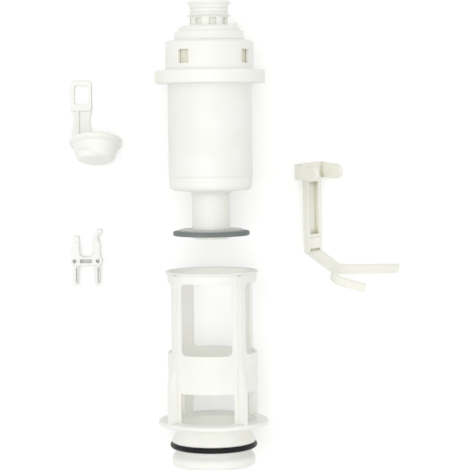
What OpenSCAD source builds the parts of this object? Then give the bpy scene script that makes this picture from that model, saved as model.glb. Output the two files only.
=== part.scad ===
// Toilet flush valve laid out in its pieces: valve basket, valve insert, ballast cup, rod clip and lift bracket.
// Millimetres. +Z is up from the table, +Y runs along the valve from the outlet to the crown.
// The basket and the insert share one axis, so the insert slides straight home into the basket.

/* [Basket] */
// overall height of the basket from the outlet end to the lip
basket_height = 149; // [140:1:170]
// outside radius of the cage ring and band
cage_radius = 34.1; // [33.6:0.1:36]
// wall thickness of the cage
cage_wall = 1.6; // [1.2:0.1:2]
// how far the lip stands out from the ring
lip_out = 1.2; // [0.6:0.1:2]
// thickness of the lip
lip_thick = 1.7; // [1.2:0.1:3]
// height of the top ring below the lip
ring_height = 6.5; // [6:0.5:12]
// height of the solid band in the middle of the cage
band_height = 29; // [20:1:36]
// height of the lower windows above the base flange
low_window_height = 23; // [14:1:24]
// half width of an upper window
window_half = 19; // [16:0.5:21]
// half width of a lower window
low_window_half = 20.2; // [18:0.2:22]
// corner radius of the upper windows
window_corner = 3.4; // [1.5:0.1:5]
// thickness of the ribs that run down the posts
rib_thick = 3; // [2:0.2:4]
// how far a rib stands out from the post
rib_out = 1.4; // [0.8:0.1:2]
// height of the wide part of a rib above the base flange
rib_wide_height = 26; // [20:1:28]
// height over which a rib narrows above its wide part
rib_flare_height = 23; // [16:1:28]
// turn of the posts and ribs about the valve axis
rib_turn = 37; // [20:1:60]

/* [Outlet spigot] */
// radius of the base flange, which is also the radius of the lug flange
flange_radius = 42; // [41.5:0.1:46]
// thickness of the base flange
flange_thick = 3.5; // [2.5:0.1:5]
// length of the spigot below the base flange
spigot_length = 31.5; // [28:0.5:36]
// outside radius of the spigot neck
neck_radius = 29.2; // [27.8:0.1:30.4]
// outside radius of the sealing lands
land_radius = 31.9; // [31:0.1:32.4]
// length of the straight part of the lower sealing land
land_length = 2.2; // [2:0.1:4]
// inside radius of the outlet
outlet_radius = 25; // [23:0.5:25.5]
// section radius of the sealing ring
seal_section = 2.2; // [1.8:0.1:2.6]
// squeeze of the sealing ring on the groove floor
seal_squeeze = 0.1; // [0.05:0.05:0.3]

/* [Housing] */
// outside radius of the housing shell
shell_radius = 31.9; // [31:0.1:31.9]
// wall thickness of the housing shell
shell_wall = 1.6; // [1.2:0.1:2]
// length of the housing shell below the lug flange
shell_length = 70.3; // [66:0.5:76]
// length of the bottom cover below the shell
cover_length = 10.6; // [9:0.2:13]
// how far the cover stands in from the shell
cover_step = 0.3; // [0.1:0.1:1.4]
// floor thickness of the cover
cover_floor = 1.6; // [1.2:0.1:2.4]
// how far the cover's spigot reaches into the shell
cover_reach = 4; // [3:0.2:6]
// corner radius of the cover
cover_corner = 4.6; // [3:0.2:6]
// wall thickness of the guide bush
bush_wall = 1.7; // [1.4:0.1:2]
// thickness of the guide bush's rim
bush_rim = 1.2; // [1:0.1:1.6]
// thickness of the lug flange
lug_thick = 9.9; // [8:0.1:12]
// radius of the collar above the lug flange
collar_radius = 33.4; // [33:0.1:35]
// height of the collar above the lug flange
collar_height = 22.8; // [20:0.2:26]
// wall thickness of the collar
collar_wall = 2.6; // [2.2:0.1:3]
// width of a collar window
collar_window_width = 9.2; // [6:0.2:11]
// height of a collar window
collar_window_height = 10; // [7:0.2:12]
// turn of the collar windows about the valve axis
collar_window_turn = -35; // [-60:1:0]

/* [Adjuster] */
// radius of the cap where it leaves the collar
cap_radius = 26.6; // [25.6:0.1:27]
// height of the lower tier of the cap above the collar
cap_low_height = 6.4; // [5:0.2:9]
// height of the upper tier of the cap
cap_top_height = 4.2; // [3:0.2:6]
// radius of the upper tier of the cap
cap_top_radius = 23.6; // [22.4:0.1:24]
// wall thickness of the cap
cap_wall = 1.6; // [1.2:0.1:2]
// height of the pointer on the cap
pointer_height = 1.8; // [1:0.1:3]

/* [Lift unit] */
// outside radius of the overflow tube
tube_radius = 14.4; // [13.8:0.1:14.6]
// inside radius of the overflow tube
tube_bore = 11; // [9:0.2:11.2]
// distance from the lug flange down to the sealing face
stem_drop = 115.1; // [112:0.1:122]
// radius of the rim and of the lock ring's edge
crown_radius = 16.5; // [15.8:0.1:18]
// height of the crown above the lock ring
crown_height = 10.3; // [8:0.1:13]
// height of the lock ring
lock_height = 8.1; // [7:0.1:10]
// number of legs on the lock ring
lock_legs = 8; // [6:1:10]
// width of the gaps between the legs
lock_gap = 5.4; // [3.6:0.2:6]
// outside radius of the float
float_radius = 26.5; // [22:0.5:28]
// height of the float
float_height = 30; // [20:1:34]
// radius of the seal plate
plate_radius = 24.2; // [22:0.1:25]
// thickness of the seal plate
plate_thick = 1.5; // [1.2:0.1:2.5]
// radius of the seal washer
washer_radius = 29.1; // [28:0.1:30]
// thickness of the seal washer
washer_thick = 3.2; // [2.4:0.1:4]

/* [Ballast cup] */
// outside radius of the cup's rim
cup_rim = 20.4; // [18:0.2:22]
// outside radius of the cup at its floor
cup_floor = 15.2; // [13:0.2:16]
// depth of the cup
cup_depth = 16.4; // [14:0.5:22]
// wall thickness of the cup
cup_wall = 1.5; // [1.2:0.1:2]
// round of the cup's floor edge
cup_round = 4; // [2:0.2:6]
// height of the cup's rim
rim_height = 4.2; // [3:0.2:6]
// radius of the round foot on the cup's floor
foot_boss = 9.2; // [7:0.2:10]
// width of the hanging tab
tab_width = 16.6; // [13:0.2:18]
// length of the hanging tab past the rim
tab_length = 43; // [36:0.5:50]
// thickness of the hanging tab
tab_thick = 2.2; // [1.8:0.1:3]
// thickness of the frame round the tab's eye
tab_frame = 3.4; // [2.6:0.1:4.4]
// width of the eye in the tab
eye_width = 10.8; // [8:0.2:11]
// height of the eye in the tab
eye_height = 14.2; // [10:0.2:15]
// dip of the cup's mouth towards the table
cup_dip = 20; // [10:1:24]

/* [Rod clip] */
// distance between the two bar holes
clip_pitch = 18.2; // [16:0.2:20]
// depth of the clip across its flat
clip_depth = 7; // [5:0.5:9]
// depth of the slot along the bar
slot_depth = 5; // [2:0.2:5.4]
// length of the legs below the bar
leg_length = 15; // [12:0.5:20]
// free width between the spring arms
fork_gap = 10.4; // [9:0.2:12]
// height of the short spring arm above the bar
fork_height = 17; // [14:0.5:20]

/* [Lift bracket] */
// length of the bracket's arm between the strip and the head
arm_length = 54; // [46:1:60]
// width of the arm
arm_width = 13.4; // [12:0.2:15]
// depth of the arm
arm_depth = 6; // [5:0.5:7]
// depth of the groove in the arm
groove_depth = 4.2; // [2:0.2:4.4]
// wall beside the groove in the arm
groove_wall = 2.8; // [1.8:0.1:3]
// wall on the groove's thin side
thin_wall = 1.5; // [1.2:0.1:2.4]
// height of the plain block below the groove
block_height = 14.4; // [11:0.2:18]
// how far the block's face stands back from the rails
block_sink = 1.2; // [0.6:0.1:2]
// height of the rib along the groove's floor
rib_rise = 1.6; // [0.8:0.1:2]
// length of the strip between the arm and the claw
strip_length = 31; // [26:1:36]
// thickness of the strip
strip_thick = 3; // [2.4:0.2:4]
// slope of the strip below square to the arm
strip_slope = 21; // [10:1:28]
// inside radius of the claw
claw_radius = 11; // [10:0.1:13]
// thickness of the claw's fingers
claw_wall = 2.2; // [1.8:0.2:3]
// height of the claw's fingers
claw_height = 7; // [5:0.5:8]
// length of the long finger past the claw's curve
finger_length = 50; // [30:1:56]
// length of the short finger past the claw's curve
short_finger = 15.4; // [8:0.2:20]
// turn of the claw's curve between the two fingers
claw_turn = 148; // [120:1:180]
// width of the saddle head across its two plates
head_width = 28; // [24:0.5:32]
// length of the head's plates
head_length = 25; // [18:0.5:26]
// height of the head's plates
head_height = 12; // [9:0.5:13]

/* [Layout] */
// free distance between the basket and the insert on the table
spread = 142; // [142:1:180]
// distance of the valve axis from the middle of the layout
axis_offset = -17.6; // [-24:0.2:-10]
// distance of the cup's eye from the edge of the flanges
cup_gap = 58.9; // [56:0.1:72]
// distance of the clip from the edge of the flanges
clip_gap = 56.5; // [48:0.1:66]
// distance of the bracket's arm from the edge of the flanges
bracket_gap = 35.1; // [31:0.1:56]
// place of the cup's tab end along the row
cup_row = 118.5; // [100:0.1:130]
// place of the clip's bar along the row
clip_row = -22.2; // [-40:0.1:0]
// place of the bracket's corner along the row
bracket_row = -13; // [-40:0.1:0]

/* [Fits] */
// gap that keeps moving pieces apart
slide_gap = 0.3; // [0.25:0.05:0.5]
// gap left where the insert and the seal come to rest
rest_gap = 0.2; // [0.1:0.05:0.3]

/* [Hidden] */
$fn = 64;
over = 0.5;
sill = 0.5;
axis_height = flange_radius;
cage_bore = cage_radius - cage_wall;
base_top = spigot_length + flange_thick;
low_window_top = base_top + low_window_height;
band_top = low_window_top + band_height;
ring_low = basket_height - lip_thick - ring_height;
seat_z = basket_height - stem_drop;
land_z = spigot_length * 0.57;
ring_center = land_z - seal_section;
groove_drop = 2.9;
groove_radius = land_radius - groove_drop;
ring_radius = groove_radius + seal_section - seal_squeeze;
end_round = 3.2;
bead_gap = 2;
bead_top = end_round + land_length;
bead_rise = ring_center - seal_section - bead_gap - bead_top;
flange_z = basket_height + spread;
collar_top = lug_thick + collar_height;
collar_bore = collar_radius - collar_wall;
shell_bore = shell_radius - shell_wall;
cover_radius = shell_radius - cover_step;
cover_z = -shell_length - cover_length;
guide_bore = tube_radius + slide_gap;
guide_out = guide_bore + bush_wall;
cap_step = collar_top + cap_low_height;
cap_top = cap_step + cap_top_height;
cap_hole = tube_radius + slide_gap;
sleeve_radius = collar_bore - 0.4;
tube_step = cap_top - 0.4;
stub_radius = tube_radius - 2.2;
lock_z = cap_top + rest_gap;
lock_top = lock_z + lock_height;
crown_top = lock_top + crown_height;
crown_bore = stub_radius;
shoulder_z = cover_z + 4.6;
float_z = shoulder_z + 1.5;
stop_z = float_z + float_height;
washer_z = -stem_drop;
plate_z = washer_z + washer_thick;
foot_radius = tube_radius - 1.4;
layout_length = flange_z + crown_top;
bracket_lift = 4.32;
claw_x = strip_length + claw_radius + claw_wall;
claw_y = 3.3;
corner_round = 3.2;
waist_round = 20;
waist_depth = 1.8;
strip_width = arm_width - 0.8;
arm_foot = 3.6;
arm_head = 2.4;

/* [Hidden] */

// Lays a piece that is drawn upright about the valve axis down on the table
module laid(z) {
  translate([axis_offset, -layout_length / 2 + z, axis_height])
    rotate([-90, 0, 0])
      children();
}

// Box with upright rounded corners, drawn with exact cylinders
module round_box(x, y, z, r) {
  translate([-x / 2 + r, -y / 2, -z / 2])
    cube([x - 2 * r, y, z]);
  translate([-x / 2, -y / 2, -z / 2 + r])
    cube([x, y, z - 2 * r]);
  for (i = [-1, 1], k = [-1, 1])
    translate([i * (x / 2 - r), -y / 2, k * (z / 2 - r)])
      rotate([-90, 0, 0])
        cylinder(r = r, h = y);
}

// Basket: spigot, base flange, seat, cage walls and ribs
module valve_basket() {
  color([0.96, 0.96, 0.93])
    laid(0) {
      difference() {
        rotate_extrude()
          polygon([
            [outlet_radius, 0],
            for (t = [-90:15:0]) [land_radius - end_round + end_round * cos(t), end_round + end_round * sin(t)],
            for (t = [0:15:90])
              [land_radius - groove_drop * (1 - cos(2 * t)) / 2, bead_top + bead_rise * t / 90],
            [groove_radius, land_z],
            [land_radius - 0.4, land_z],
            [land_radius, land_z + 0.5],
            [land_radius, land_z + 1.6],
            [neck_radius, land_z + 6.4],
            [neck_radius, spigot_length],
            [flange_radius - 1, spigot_length],
            [flange_radius - 0.3, spigot_length + 0.4],
            [flange_radius, spigot_length + 1.2],
            [flange_radius, base_top - 1.2],
            [flange_radius - 0.3, base_top - 0.4],
            [flange_radius - 1, base_top],
            [cage_radius, base_top],
            [cage_radius, ring_low],
            [cage_radius, basket_height - lip_thick],
            [cage_radius + lip_out, basket_height - lip_thick + 0.3],
            [cage_radius + lip_out, basket_height - 0.4],
            [cage_radius + lip_out - 0.4, basket_height],
            [cage_bore + 0.4, basket_height],
            [cage_bore, basket_height - 0.6],
            [cage_bore, base_top],
            [outlet_radius + 3.6, base_top - 3.2],
            [outlet_radius + 2.6, base_top - 3.2],
            [outlet_radius + 1.8, seat_z],
            [outlet_radius + 0.6, seat_z],
            [outlet_radius, seat_z - 0.8]
          ]);
        for (k = [0:3])
          rotate([0, 0, rib_turn + 45 + 90 * k])
            translate([0, -cage_radius, (band_top + ring_low) / 2])
              round_box(2 * window_half, 28, ring_low - band_top, window_corner);
        for (k = [0:3])
          rotate([0, 0, rib_turn + 45 + 90 * k])
            translate([0, -cage_radius, (base_top + sill + low_window_top) / 2])
              round_box(2 * low_window_half, 22, low_window_height - sill, 1.2);
      }
      for (k = [0:3])
        rotate([0, 0, rib_turn + 90 * k])
          basket_rib();
    }
}

// One rib: slim beside the windows, flaring out over the band to the base flange
module basket_rib() {
  rib_root = cage_radius - cage_wall / 2;
  slim = cage_radius + rib_out;
  wide = flange_radius - 0.6;
  flare_z = base_top + rib_wide_height;
  flare = [[1, 0], [0.95, 0.22], [0.82, 0.37], [0.57, 0.52], [0.2, 0.67], [0.07, 0.8], [0, 1]];
  rotate([0, 0, -90])
    rotate([90, 0, 0])
      translate([0, 0, -rib_thick / 2])
        linear_extrude(rib_thick)
          polygon([
            [rib_root, base_top - over],
            [wide, base_top - over],
            for (f = flare) [slim + (wide - slim) * f[0], flare_z + rib_flare_height * f[1]],
            [slim, basket_height - lip_thick - 0.4],
            [rib_root, basket_height - lip_thick - 0.4]
          ]);
}

// Black sealing ring stretched into the groove under the upper land
module outlet_seal() {
  color([0.08, 0.08, 0.08])
    laid(0)
      rotate_extrude()
        translate([ring_radius, ring_center])
          circle(r = seal_section);
}

// Plain shell that hangs below the lug flange
module housing_shell() {
  color([0.95, 0.95, 0.92])
    laid(flange_z)
      rotate_extrude()
        polygon([
          [shell_bore, -shell_length],
          [shell_radius - 0.2, -shell_length],
          [shell_radius, -shell_length + 0.2],
          [shell_radius, lug_thick - 0.4],
          [shell_bore, lug_thick - 0.4]
        ]);
}

// Collar with four windows and a bayonet lug flange
module lug_collar() {
  color([0.96, 0.96, 0.93])
    laid(flange_z)
      difference() {
        rotate_extrude()
          polygon([
            [shell_radius, 0],
            [flange_radius - 0.6, 0],
            [flange_radius, 0.6],
            [flange_radius, lug_thick - 0.6],
            [flange_radius - 0.6, lug_thick],
            [collar_radius + 0.8, lug_thick],
            [collar_radius, lug_thick + 0.8],
            [collar_radius, collar_top - 2],
            [collar_radius - 1.2, collar_top - 1],
            [cap_radius + 1.5, collar_top],
            [cap_radius + slide_gap, collar_top],
            [cap_radius + slide_gap, collar_top - 2.2],
            [collar_bore, collar_top - 2.2],
            [collar_bore, lug_thick - 0.4],
            [shell_radius, lug_thick - 0.4]
          ]);
        for (k = [0:3])
          rotate([0, 0, collar_window_turn + 90 * k])
            translate([0, -collar_radius, lug_thick + collar_height * 0.44])
              cube([collar_window_width, 12, collar_window_height], center = true);
        for (k = [0, 1])
          rotate([0, 0, -78 + 180 * k])
            translate([-7, -flange_radius - over, -over])
              cube([14, 4.6, lug_thick + 2 * over]);
      }
}

// Cover that closes the shell at its lower end
module bottom_cover() {
  color([0.95, 0.95, 0.92])
    laid(flange_z)
      difference() {
        rotate_extrude()
          difference() {
            union() {
              translate([guide_out, cover_z])
                square([cover_radius - cover_corner - guide_out, cover_length]);
              translate([guide_out, cover_z + cover_corner])
                square([cover_radius - guide_out, cover_length - cover_corner]);
              translate([cover_radius - cover_corner, cover_z + cover_corner])
                circle(r = cover_corner);
              translate([guide_out, -shell_length - over])
                square([shell_bore - guide_out, cover_reach + over]);
            }
            translate([0, cover_z + cover_floor])
              square([shell_bore - cover_floor, cover_length + cover_reach]);
          }
        translate([0, 0, cover_z - over])
          cylinder(r = guide_out, h = cover_length);
      }
}

// Bush in the cover that guides the overflow tube
module guide_bush() {
  color([0.95, 0.95, 0.92])
    laid(flange_z)
      rotate_extrude()
        polygon([
          [guide_bore, cover_z - 2 * bush_rim],
          [guide_bore + 0.4 * bush_wall, cover_z - 2 * bush_rim],
          [guide_bore + 0.7 * bush_wall, cover_z - bush_rim],
          [guide_out + 0.5 * bush_wall, cover_z],
          [guide_out, cover_z],
          [guide_out, cover_z + cover_floor],
          [guide_out + 2 * bush_wall, cover_z + cover_floor],
          [guide_out + 2 * bush_wall, cover_z + cover_floor + bush_rim],
          [guide_bore, cover_z + cover_floor + bush_rim]
        ]);
}

// Two-tier cap that turns in the collar, with a pointer
module adjuster_cap() {
  color([0.96, 0.96, 0.93])
    laid(flange_z) {
      rotate_extrude()
        polygon([
          [cap_radius - cap_wall, collar_top - 3.4],
          [cap_radius, collar_top - 3.4],
          [cap_radius, collar_top + 0.4],
          [cap_radius - 0.9, cap_step - 0.5],
          [cap_radius - 1.4, cap_step],
          [cap_top_radius, cap_step],
          [cap_top_radius - 0.3, cap_top - 1.8],
          [cap_top_radius - 2.6, cap_top],
          [cap_hole, cap_top],
          [cap_hole, cap_top - 2],
          [cap_top_radius - cap_wall - 1.6, cap_top - 2],
          [cap_top_radius - cap_wall - 1.6, cap_step - cap_wall],
          [cap_radius - cap_wall - 1, cap_step - cap_wall]
        ]);
      rotate([0, 0, 76])
        translate([-1.7, -cap_top_radius + 1.6, cap_top - 1])
          cube([3.4, 3.2, pointer_height + 1]);
    }
}

// Sleeve under the collar windows, turned by the cap
module adjuster_sleeve() {
  color([0.86, 0.86, 0.77])
    laid(flange_z)
      difference() {
        rotate_extrude()
          polygon([
            [sleeve_radius - 1.5, lug_thick + 1.6],
            [sleeve_radius, lug_thick + 1.6],
            [sleeve_radius, collar_top - 3.4],
            [cap_radius, collar_top - 3.4],
            [cap_radius - cap_wall - 1, collar_top - 3.4],
            [cap_radius - cap_wall - 1, collar_top - 4.8],
            [sleeve_radius - 1.5, collar_top - 4.8]
          ]);
        for (k = [0:3])
          rotate([0, 0, collar_window_turn + 26 + 90 * k])
            translate([0, -collar_radius, lug_thick + collar_height * 0.44])
              cube([collar_window_width, 12, collar_window_height - 1], center = true);
      }
}

// Overflow tube: long bore, shoulder for the float and a foot for the seal
module overflow_tube() {
  color([0.95, 0.95, 0.92])
    laid(flange_z)
      rotate_extrude()
        polygon([
          [tube_bore, washer_z - 2.6],
          [foot_radius, washer_z - 2.6],
          [foot_radius, plate_z + plate_thick],
          [tube_radius, plate_z + plate_thick],
          [tube_radius, shoulder_z],
          [tube_radius + 2.8, shoulder_z],
          [tube_radius + 2.8, float_z],
          [tube_radius, float_z],
          [tube_radius, tube_step],
          [stub_radius, tube_step],
          [stub_radius, crown_top - 2.2],
          [tube_bore + 0.5, crown_top - 2.2],
          [tube_bore, crown_top - 2.7]
        ]);
}

// Crown with a flared rim, which a lifting claw grips under the rim
module pull_crown() {
  color([0.95, 0.95, 0.92])
    laid(flange_z)
      rotate_extrude()
        polygon([
          [crown_bore, lock_top],
          [tube_radius, lock_top],
          [tube_radius, lock_top + 1.5],
          [tube_radius - 0.35, lock_top + 1.7],
          [tube_radius - 0.35, lock_top + 2],
          [tube_radius, lock_top + 2.2],
          [tube_radius, lock_top + 4.2],
          [tube_radius - 0.35, lock_top + 4.4],
          [tube_radius - 0.35, lock_top + 4.7],
          [tube_radius, lock_top + 4.9],
          [tube_radius + 0.2, lock_top + 6.2],
          [crown_radius - 0.9, crown_top - 2.6],
          [crown_radius, crown_top - 2],
          [crown_radius, crown_top - 0.7],
          [crown_radius - 0.7, crown_top],
          [tube_bore + 0.8, crown_top],
          [tube_bore, crown_top - 0.8],
          [tube_bore, crown_top - 2.2],
          [crown_bore, crown_top - 2.2]
        ]);
}

// Castellated ring that rests on the cap and locks the crown
module lock_ring() {
  color([0.95, 0.95, 0.92])
    laid(flange_z)
      difference() {
        rotate_extrude()
          polygon([
            [crown_bore, lock_z],
            [tube_radius, lock_z],
            [tube_radius, lock_top - 1.6],
            [crown_radius, lock_top - 1],
            [crown_radius, lock_top - 0.6],
            [tube_radius, lock_top],
            [crown_bore, lock_top]
          ]);
        for (k = [0:lock_legs - 1])
          rotate([0, 0, 12 + 360 / lock_legs * k])
            translate([-lock_gap / 2, -tube_radius - 1, lock_z - over])
              cube([lock_gap, 6, lock_height - 2.6 + over]);
      }
}

// Ring float, open below, carried on the tube's shoulder
module main_float() {
  color([0.9, 0.91, 0.88])
    laid(flange_z)
      rotate_extrude()
        polygon([
          [tube_radius, float_z],
          [tube_radius + 1.8, float_z],
          [tube_radius + 1.8, stop_z - 1.8],
          [float_radius - 1.8, stop_z - 1.8],
          [float_radius - 1.8, float_z],
          [float_radius, float_z],
          [float_radius, stop_z - 1],
          [float_radius - 1, stop_z],
          [tube_radius, stop_z]
        ]);
}

// Ring that holds the float down on the tube
module float_stop() {
  color([0.93, 0.93, 0.9])
    laid(flange_z)
      rotate_extrude()
        polygon([
          [tube_radius, stop_z],
          [tube_radius + 3.4, stop_z],
          [tube_radius + 3.4, stop_z + 1.4],
          [tube_radius + 1.4, stop_z + 2.6],
          [tube_radius, stop_z + 2.6]
        ]);
}

// Stiff plate above the washer
module seal_plate() {
  color([0.79, 0.81, 0.79])
    laid(flange_z)
      rotate_extrude()
        polygon([
          [foot_radius, plate_z],
          [plate_radius, plate_z],
          [plate_radius, plate_z + plate_thick - 0.4],
          [plate_radius - 0.4, plate_z + plate_thick],
          [foot_radius, plate_z + plate_thick]
        ]);
}

// Soft washer that closes the outlet
module seal_washer() {
  color([0.47, 0.5, 0.49])
    laid(flange_z)
      rotate_extrude()
        polygon([
          [foot_radius, washer_z],
          [washer_radius - 0.5, washer_z],
          [washer_radius, washer_z + 0.5],
          [washer_radius, plate_z - 0.5],
          [washer_radius - 0.5, plate_z],
          [foot_radius, plate_z]
        ]);
}

// Ring that holds the washer up against the plate
module seal_retainer() {
  color([0.93, 0.93, 0.9])
    laid(flange_z)
      rotate_extrude()
        polygon([
          [foot_radius, washer_z - 1.6],
          [foot_radius + 2.4, washer_z - 1.6],
          [foot_radius + 4.4, washer_z - 0.8],
          [foot_radius + 4.4, washer_z],
          [foot_radius, washer_z]
        ]);
}

// Open cup with a flanged rim, a stepped foot and a hanging tab with an eye
module ballast_cup() {
  color([0.95, 0.95, 0.92])
    translate([axis_offset - flange_radius - cup_gap, cup_row, 0])
      difference() {
        union() {
          cup_tab();
          cup_tilt() {
            cup_bowl();
            translate([-4.8, -cup_floor + foot_boss - 0.8, -cup_depth - 1.6])
              cup_foot();
          }
        }
        cup_tilt()
          cup_hollow();
      }
}

// Outside of the bowl: rounded floor edge, tapered wall and flanged rim
module cup_bowl() {
  neck = cup_rim - 2.4;
  rotate_extrude()
    polygon([
      [0, -cup_depth],
      for (t = [-90:15:-15])
        [cup_floor - cup_round + cup_round * cos(t), -cup_depth + cup_round + cup_round * sin(t)],
      [neck, -rim_height - 0.7],
      [cup_rim - 0.6, -rim_height],
      [cup_rim, -rim_height + 0.6],
      [cup_rim, -0.8],
      [cup_rim - 0.8, 0],
      [0, 0]
    ]);
}

// Inside of the bowl
module cup_hollow() {
  neck = cup_rim - 2.4 - cup_wall;
  low = cup_floor - cup_wall;
  rotate_extrude()
    polygon([
      [0, -cup_depth + cup_wall],
      for (t = [-90:15:-15])
        [low - cup_round + cup_round * cos(t), -cup_depth + cup_wall + cup_round + cup_round * sin(t)],
      [neck, -rim_height],
      [neck + 0.6, 0],
      [neck + 0.6, over],
      [0, over]
    ]);
}

// Round foot that stands off the floor at one side
module cup_foot() {
  rotate_extrude()
    polygon([
      [0, 0],
      [foot_boss - 2.2, 0],
      [foot_boss - 0.9, 0.5],
      [foot_boss - 0.2, 1.5],
      [foot_boss, 2.6],
      [foot_boss, 5.2],
      [foot_boss - 0.4, 5.6],
      [0, 5.6]
    ]);
}

// Puts a piece drawn about the cup's axis on the table with the mouth dipped
module cup_tilt() {
  translate([12.3, -tab_length - 3.2, cup_rim * cos(cup_dip)])
    rotate([-cup_dip, 0, 0])
      rotate([-90, 0, 0])
        children();
}

// Hanging tab with an eye, waisted sides and a root block under the rim
module cup_tab() {
  frame_length = eye_height + 9.6;
  difference() {
    union() {
      translate([0, -tab_length / 2, tab_thick / 2])
        rotate([90, 0, 0])
          round_box(tab_width, tab_thick, tab_length, 2.6);
      translate([0, -frame_length / 2, tab_frame / 2])
        rotate([90, 0, 0])
          round_box(tab_width - 0.3, tab_frame, frame_length - 0.3, 2.6);
      translate([-tab_width / 2 + 2.4, -tab_length - 9, 0])
        cube([tab_width - 4.8, 13, tab_thick - 0.2]);
      translate([-tab_width / 2 + 2.6, -tab_length - 13, 0])
        cube([tab_width - 5.2, 7, tab_thick + 4.6]);
      translate([-3.6, -tab_length - 5, 0.3])
        cube([1.8, tab_length - frame_length + 6, tab_frame]);
    }
    translate([0.2, -4 - eye_height / 2, tab_thick / 2])
      rotate([90, 0, 0])
        round_box(eye_width, tab_thick + 6, eye_height, 1.5);
    for (i = [-1, 1])
      translate([i * (tab_width / 2 + waist_round - waist_depth), -frame_length - 8, -over])
        cylinder(r = waist_round, h = tab_frame + 2 * over);
  }
}

// Fork clip: crossbar with two eyes, two spring arms and two snap legs
module rod_clip() {
  color([0.95, 0.95, 0.92])
    translate([axis_offset - flange_radius - clip_gap, clip_row, 0])
      difference() {
        union() {
          translate([-clip_pitch / 2, -3.4, 0])
            cube([clip_pitch, 6.8, clip_depth]);
          for (i = [-1, 1])
            translate([i * clip_pitch / 2, 0, 0])
              cylinder(r = 3.5, h = clip_depth);
          for (i = [-1, 1])
            translate([i * (clip_pitch / 2 - 0.6), -leg_length / 2 - 2.6, clip_depth / 2])
              clip_leg(i);
          for (i = [-1, 1])
            translate([i * (fork_gap / 2 + 0.2), 3.2, 0])
              mirror([i > 0 ? 1 : 0, 0, 0])
                linear_extrude(clip_depth)
                  fork_corner();
          linear_extrude(clip_depth)
            short_arm();
          linear_extrude(clip_depth)
            long_arm();
        }
        for (i = [-1, 1])
          translate([i * clip_pitch / 2, 0, -over])
            cylinder(r = 1.5, h = clip_depth + 2 * over);
        translate([-clip_pitch / 2 + 4.2, -1.4, clip_depth - slot_depth])
          cube([clip_pitch - 9, 2.8, slot_depth + over]);
      }
}

// Outline of the rounded corner between the crossbar and a spring arm
module fork_corner() {
  difference() {
    translate([-1, -1])
      square([corner_round + 1, corner_round + 1]);
    translate([corner_round, corner_round])
      circle(r = corner_round - 0.2);
  }
}

// Outline of the spring arm with the rounded end
module short_arm() {
  in = -fork_gap / 2;
  top = 3.4 + fork_height;
  polygon([
    [in - 0.4, 2.4],
    [in, 4.6],
    [in, top - 6],
    [in - 0.7, top - 5],
    [in, top - 3.6],
    [in - 0.4, top - 1.2],
    [in - 2.4, top],
    [in - 4.6, top - 0.8],
    [in - 5.7, top - 2.6],
    [in - 4.7, top - 5.4],
    [in - 4.9, top - 7.4],
    [in - 6.8, top - 10.6],
    [in - 6.4, top - 12],
    [in - 5.8, top - 14],
    [in - 6, 2.4]
  ]);
}

// Outline of the spring arm that curls out at its end
module long_arm() {
  in = fork_gap / 2;
  top = 3.4 + fork_height + 4.4;
  polygon([
    [in - 1.4, 2.4],
    [in - 0.2, 3.8],
    [in + 1.2, 6.2],
    [in + 1, 9],
    [in, top - 12.6],
    [in - 0.4, top - 9.4],
    [in + 0.2, top - 6],
    [in + 1.4, top - 2.6],
    [in + 3.2, top],
    [in + 7.4, top],
    [in + 7.4, top - 3],
    [in + 4.2, top - 4],
    [in + 3.8, top - 6.6],
    [in + 5.2, top - 10],
    [in + 6, top - 13.6],
    [in + 5.4, top - 17.4],
    [in + 6.2, 2.4]
  ]);
}

// One snap leg with a rounded end, a slit and a barb
module clip_leg(side) {
  difference() {
    union() {
      cube([4.2, leg_length, clip_depth - 2], center = true);
      translate([0, -leg_length / 2, 0])
        cylinder(r = 2.1, h = clip_depth - 2, center = true);
      translate([-1.4, -leg_length / 2 + 3, 0])
        cylinder(r = 1.3, h = clip_depth - 2, center = true);
    }
    translate([0.9, -1, 0])
      cube([1.1, leg_length - 3, clip_depth], center = true);
  }
}

// Lift bracket: saddle head, grooved arm, sloping strip and open claw
module lift_bracket() {
  color([0.93, 0.93, 0.87])
    translate([axis_offset + flange_radius + bracket_gap, bracket_row, bracket_lift])
      rotate([-82.5, -49, -4.6])
        rotate([0, 0, -4])
          bracket_shape();
}

// Bracket in its own frame: arm up Z, strip and claw sloping down from X
module bracket_shape() {
  bracket_arm();
  rotate([0, strip_slope, 0]) {
    difference() {
      translate([2, -strip_width / 2, -strip_thick - 0.4])
        cube([strip_length + 4, strip_width, strip_thick]);
      translate([claw_x, claw_y, -claw_height])
        cylinder(r = claw_radius + claw_wall / 2, h = 2 * claw_height);
    }
    translate([claw_x, claw_y, -claw_height])
      claw();
  }
  translate([-0.5, -head_width / 2, arm_length])
    cube([4, head_width, head_height]);
  for (i = [-1, 1])
    translate([0, i * (head_width / 2 - 2.2), arm_length])
      head_plate();
}

// Arm with a ribbed groove over a plain block, whose face stands back above the strip
module bracket_arm() {
  low = block_height - arm_foot;
  side = -arm_width / 2 + thin_wall;
  run = arm_length - 2.2 - low;
  difference() {
    translate([0, -arm_width / 2, -arm_foot])
      cube([arm_depth, arm_width, arm_length + arm_foot + arm_head]);
    translate([arm_depth - groove_depth, side, low])
      cube([groove_depth + over, arm_width - groove_wall - thin_wall, run]);
    translate([arm_depth - block_sink, side, -arm_foot - over])
      cube([block_sink + over, arm_width, block_height - 2 + over]);
    translate([arm_depth - block_sink - 1.2, side, -arm_foot - over])
      cube([block_sink, arm_width - 2 * thin_wall, arm_foot - 0.7 + over]);
  }
  translate([arm_depth - groove_depth - 0.5, side + 2.2, low - 0.5])
    cube([rib_rise + 0.5, 1.2, run + 1]);
}

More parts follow.
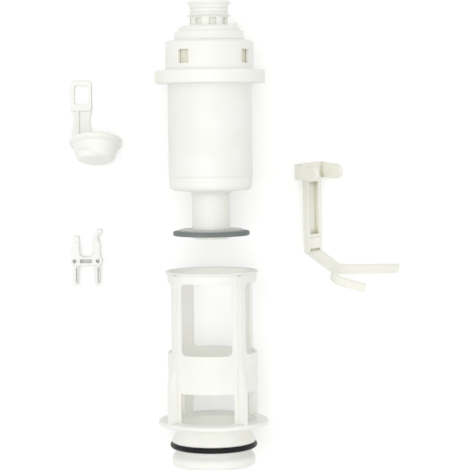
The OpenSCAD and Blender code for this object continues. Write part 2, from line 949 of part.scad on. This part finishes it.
// Open claw: a curve between one long and one short straight finger, which open out
module claw() {
  start = 166;
  rotate([0, 0, start])
    rotate_extrude(angle = claw_turn)
      translate([claw_radius, 0])
        square([claw_wall, claw_height]);
  rotate([0, 0, start])
    translate([claw_radius, -finger_length, 0])
      cube([claw_wall, finger_length, claw_height]);
  rotate([0, 0, start + claw_turn])
    translate([claw_radius + 0.1, -1, 0.1])
      cube([claw_wall - 0.2, short_finger + 1, claw_height - 0.2]);
}

// One plate of the saddle head, rounded at its free end
module head_plate() {
  translate([0, -2, 0.4])
    cube([head_length - head_height / 2, 4, head_height - 0.8]);
  translate([head_length - head_height / 2, 2, head_height / 2])
    rotate([90, 0, 0])
      cylinder(r = head_height / 2 - 0.4, h = 4);
}

valve_basket();
outlet_seal();
housing_shell();
lug_collar();
bottom_cover();
guide_bush();
adjuster_cap();
adjuster_sleeve();
overflow_tube();
pull_crown();
lock_ring();
main_float();
float_stop();
seal_plate();
seal_washer();
seal_retainer();
ballast_cup();
rod_clip();
lift_bracket();
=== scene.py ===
import bpy
import math
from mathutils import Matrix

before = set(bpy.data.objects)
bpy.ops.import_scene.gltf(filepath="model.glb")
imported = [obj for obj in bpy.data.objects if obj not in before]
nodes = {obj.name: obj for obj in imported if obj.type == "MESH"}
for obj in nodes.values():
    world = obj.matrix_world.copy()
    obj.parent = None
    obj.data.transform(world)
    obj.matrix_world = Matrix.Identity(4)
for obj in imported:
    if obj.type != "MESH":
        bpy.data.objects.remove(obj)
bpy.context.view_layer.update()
print("frame loaded:", len(nodes), "nodes")


# camera above the crown half, aimed at the middle of the layout
viewpoint = {
    "place": (0.0013, 0.0866, 1.410),
    "lean": -3.65,  # degrees about X
    "roll": -0.63,  # degrees about Z
    "lens": 138,  # millimetres
    "sensor": 36,  # millimetres
    "farClip": 50,
}

bpy.ops.object.camera_add(
    location=viewpoint["place"],
    rotation=(math.radians(viewpoint["lean"]), 0, math.radians(viewpoint["roll"])),
)
camera = bpy.context.object
camera.name = "tableCamera"
camera.data.lens = viewpoint["lens"]
camera.data.sensor_width = viewpoint["sensor"]
camera.data.clip_end = viewpoint["farClip"]
bpy.context.scene.camera = camera
print("camera placed")


# broad soft lamp, evenly lit white room and a glossy white table
studio = {
    "lampPlace": (-0.4, 0.3, 2.4),
    "lampLean": (-7.1, -9.5, 0),  # degrees, so that it faces the table's middle
    "lampSize": 2.2,
    "lampPower": 14.5,
    "white": (1, 1, 1, 1),
    "roomLevel": 0.84,  # light from the room on the pieces
    "roomSeen": 1,  # the room where it is seen
    "tableSize": 30,
    "tablePlace": (0, 0, -0.0003),  # just clear of the lowest faces
    "tableColour": (0.82, 0.82, 0.815, 1),
    "tableRough": 0.22,
    "tableShine": 0.35,
    "tableGlow": 0.26,  # lifts the table to white where it is seen
}


def newMaterial(name):
    made = bpy.data.materials.new(name)
    made.use_nodes = True
    made.node_tree.nodes.clear()
    return made, made.node_tree.nodes, made.node_tree.links


def seenByEye(tree, links):  # 1 for camera, mirror and glass rays
    path = tree.new("ShaderNodeLightPath")
    first = tree.new("ShaderNodeMath")
    first.operation = "MAXIMUM"
    second = tree.new("ShaderNodeMath")
    second.operation = "MAXIMUM"
    links.new(path.outputs["Is Camera Ray"], first.inputs[0])
    links.new(path.outputs["Is Glossy Ray"], first.inputs[1])
    links.new(first.outputs[0], second.inputs[0])
    links.new(path.outputs["Is Transmission Ray"], second.inputs[1])
    return second.outputs[0]


def lightRoom(values):
    room = bpy.data.worlds.new("whiteRoom")
    room.use_nodes = True
    tree, links = room.node_tree.nodes, room.node_tree.links
    tree.clear()
    level = tree.new("ShaderNodeMix")
    level.data_type = "FLOAT"
    level.inputs[2].default_value = values["roomLevel"]  # A of the float pair
    level.inputs[3].default_value = values["roomSeen"]  # B of the float pair
    links.new(seenByEye(tree, links), level.inputs[0])
    sky = tree.new("ShaderNodeBackground")
    sky.inputs["Color"].default_value = values["white"]
    links.new(level.outputs[0], sky.inputs["Strength"])
    out = tree.new("ShaderNodeOutputWorld")
    links.new(sky.outputs[0], out.inputs["Surface"])
    bpy.context.scene.world = room


def hangLamp(values):
    lean = [math.radians(angle) for angle in values["lampLean"]]
    bpy.ops.object.light_add(type="AREA", location=values["lampPlace"], rotation=lean)
    lamp = bpy.context.object
    lamp.name = "softLamp"
    lamp.data.shape = "SQUARE"
    lamp.data.size = values["lampSize"]
    lamp.data.energy = values["lampPower"]


def layTable(values):
    bpy.ops.mesh.primitive_plane_add(size=values["tableSize"], location=values["tablePlace"])
    table = bpy.context.object
    table.name = "whiteTable"
    made, tree, links = newMaterial("glossyTable")
    gloss = tree.new("ShaderNodeBsdfPrincipled")
    gloss.inputs["Base Color"].default_value = values["tableColour"]
    gloss.inputs["Roughness"].default_value = values["tableRough"]
    gloss.inputs["Specular IOR Level"].default_value = values["tableShine"]
    glow = tree.new("ShaderNodeEmission")
    glow.inputs["Color"].default_value = values["white"]
    strength = tree.new("ShaderNodeMath")
    strength.operation = "MULTIPLY"
    strength.inputs[1].default_value = values["tableGlow"]
    links.new(seenByEye(tree, links), strength.inputs[0])
    links.new(strength.outputs[0], glow.inputs["Strength"])
    both = tree.new("ShaderNodeAddShader")
    links.new(gloss.outputs[0], both.inputs[0])
    links.new(glow.outputs[0], both.inputs[1])
    out = tree.new("ShaderNodeOutputMaterial")
    links.new(both.outputs[0], out.inputs["Surface"])
    table.data.materials.append(made)


bpy.context.scene.view_settings.view_transform = "Standard"
lightRoom(studio)
hangLamp(studio)
layTable(studio)
print("studio lit")


# moulded plastics and rubbers, all on Object coordinates in metres
finishes = {
    "whitePlastic": {
        "pale": (0.95, 0.95, 0.905, 1),
        "deep": (0.915, 0.915, 0.855, 1),
        # painted shade colour for corners and recesses
        "recessPaintedShade": (0.85, 0.85, 0.795, 1),
        "rough": (0.34, 0.46),
        "grain": 1400,
        "bump": 0.05,
        "edge": 0.0005,
        "soft": 0.15,
        "depth": 0.003,
    },
    "shellPlastic": {
        "pale": (0.95, 0.95, 0.905, 1),
        "deep": (0.915, 0.915, 0.855, 1),
        "rough": (0.34, 0.46),
        "grain": 1400,
        "bump": 0.05,
        "edge": 0.0001,  # keeps the seam between shell and cover fine
        "soft": 0.15,
        "depth": 0.003,
    },
    "beigePlastic": {
        "pale": (0.79, 0.78, 0.65, 1),
        "deep": (0.72, 0.71, 0.57, 1),
        "rough": (0.4, 0.52),
        "grain": 1400,
        "bump": 0.05,
        "edge": 0.0005,
        "soft": 0.1,
        "depth": 0.003,
    },
    "ivoryPlastic": {
        "pale": (0.95, 0.95, 0.865, 1),
        "deep": (0.905, 0.9, 0.805, 1),
        # painted shade colour for the bracket's corners, grooves and recesses
        "recessPaintedShade": (0.58, 0.56, 0.43, 1),
        "rough": (0.36, 0.48),
        "grain": 1200,
        "bump": 0.06,
        "edge": 0.0005,
        "soft": 0.12,
        "depth": 0.003,
    },
    "clipPlastic": {
        "pale": (0.915, 0.915, 0.885, 1),
        "deep": (0.88, 0.88, 0.845, 1),
        "rough": (0.34, 0.46),
        "grain": 1400,
        "bump": 0.05,
        "edge": 0.0006,
        "soft": 0.3,
        "depth": 0.004,
    },
    "greyPlate": {
        "pale": (0.56, 0.585, 0.56, 1),
        "deep": (0.49, 0.51, 0.49, 1),
        "rough": (0.3, 0.42),
        "grain": 1600,
        "bump": 0.04,
        "edge": 0.0003,
    },
    "greyRubber": {
        "pale": (0.19, 0.215, 0.21, 1),
        "deep": (0.15, 0.17, 0.166, 1),
        "rough": (0.5, 0.64),
        "grain": 2200,
        "bump": 0.1,
        "edge": 0.0003,
    },
    "blackRubber": {
        "pale": (0.011, 0.011, 0.012, 1),
        "deep": (0.006, 0.006, 0.007, 1),
        "rough": (0.3, 0.46),
        "shine": 0.18,
        "grain": 2600,
        "bump": 0.12,
        "edge": 0.0002,
    },
    "floatPlastic": {
        "pale": (0.80, 0.815, 0.775, 1),
        "deep": (0.74, 0.755, 0.71, 1),
        "rough": (0.48, 0.6),
        "grain": 1000,
        "bump": 0.08,
        "edge": 0.0004,
        "soft": 0.1,
        "depth": 0.003,
    },
}

# what all the finishes share
skin = {
    "noiseRough": 0.55,
    "driftScale": 26,
    "driftDetail": 3,
    "driftSpan": (0.34, 0.62),  # noise that gives the deep and the pale shade
    "patchScale": 95,
    "patchDetail": 5,
    "grainDetail": 2,
    "grainHeight": 0.0002,
    "paintedShadeReach": 0.005,
    "paintedShadeSpan": (0.25, 0.85),  # openness that blends from the fully painted recess shade to the plain colour
    "paintedShadeSamples": 8,
    "edgeSamples": 4,
    "softRadius": (1, 1, 0.85),
}


def noiseNode(tree, links, place, scale, detail):
    made = tree.new("ShaderNodeTexNoise")
    made.inputs["Scale"].default_value = scale
    made.inputs["Detail"].default_value = detail
    made.inputs["Roughness"].default_value = skin["noiseRough"]
    links.new(place, made.inputs["Vector"])
    return made.outputs[0]


def driftColour(tree, links, place, values):  # slow shade drift from the mould
    cloud = tree.new("ShaderNodeValToRGB")
    for stop, position, shade in zip(cloud.color_ramp.elements, skin["driftSpan"], ("deep", "pale")):
        stop.position = position
        stop.color = values[shade]
    drift = noiseNode(tree, links, place, skin["driftScale"], skin["driftDetail"])
    links.new(drift, cloud.inputs["Fac"])
    return cloud.outputs["Color"]


def paintRecessShade(tree, links, plain, values):  # painted shade: darker colour in corners and recesses, where the AO node finds little openness
    reach = tree.new("ShaderNodeAmbientOcclusion")
    reach.only_local = True
    reach.samples = skin["paintedShadeSamples"]
    reach.inputs["Distance"].default_value = skin["paintedShadeReach"]
    shade = tree.new("ShaderNodeMapRange")
    shade.inputs["From Min"].default_value = skin["paintedShadeSpan"][0]
    shade.inputs["From Max"].default_value = skin["paintedShadeSpan"][1]
    links.new(reach.outputs["AO"], shade.inputs["Value"])
    tone = tree.new("ShaderNodeMix")
    tone.data_type = "RGBA"
    tone.inputs[6].default_value = values["recessPaintedShade"]  # A of the colour pair
    links.new(plain, tone.inputs[7])  # B of the colour pair
    links.new(shade.outputs["Result"], tone.inputs[0])
    return tone.outputs[2]


def mouldedFinish(name, values):
    made, tree, links = newMaterial(name)
    place = tree.new("ShaderNodeTexCoord").outputs["Object"]
    body = tree.new("ShaderNodeBsdfPrincipled")
    colour = driftColour(tree, links, place, values)
    # painted shade darkens the colour in corners and recesses
    if "recessPaintedShade" in values:
        colour = paintRecessShade(tree, links, colour, values)
    links.new(colour, body.inputs["Base Color"])

    handled = tree.new("ShaderNodeMapRange")  # patches of duller skin
    handled.inputs["To Min"].default_value = values["rough"][0]
    handled.inputs["To Max"].default_value = values["rough"][1]
    patches = noiseNode(tree, links, place, skin["patchScale"], skin["patchDetail"])
    links.new(patches, handled.inputs["Value"])
    links.new(handled.outputs["Result"], body.inputs["Roughness"])

    corner = tree.new("ShaderNodeBevel")  # the small round that a mould leaves on every edge
    corner.samples = skin["edgeSamples"]
    corner.inputs["Radius"].default_value = values["edge"]
    spark = tree.new("ShaderNodeBump")  # fine spark texture
    spark.inputs["Strength"].default_value = values["bump"]
    spark.inputs["Distance"].default_value = skin["grainHeight"]
    grain = noiseNode(tree, links, place, values["grain"], skin["grainDetail"])
    links.new(grain, spark.inputs["Height"])
    links.new(corner.outputs["Normal"], spark.inputs["Normal"])
    links.new(spark.outputs["Normal"], body.inputs["Normal"])

    if "shine" in values:
        body.inputs["Specular IOR Level"].default_value = values["shine"]
    if "soft" in values:
        body.inputs["Subsurface Weight"].default_value = values["soft"]
        body.inputs["Subsurface Radius"].default_value = skin["softRadius"]
        body.inputs["Subsurface Scale"].default_value = values["depth"]
    out = tree.new("ShaderNodeOutputMaterial")
    links.new(body.outputs[0], out.inputs["Surface"])
    return made


materials = {name: mouldedFinish(name, values) for name, values in finishes.items()}

# the nodes that aren't in plain white plastic
dress = {
    "adjuster_sleeve": "beigePlastic",
    "housing_shell": "shellPlastic",
    "bottom_cover": "shellPlastic",
    "lift_bracket": "ivoryPlastic",
    "rod_clip": "clipPlastic",
    "seal_plate": "greyPlate",
    "seal_washer": "greyRubber",
    "outlet_seal": "blackRubber",
    "main_float": "floatPlastic",
}
for name, node in nodes.items():
    node.data.materials.clear()
    node.data.materials.append(materials[dress.get(name, "whitePlastic")])
print("finishes on", len(nodes), "nodes")
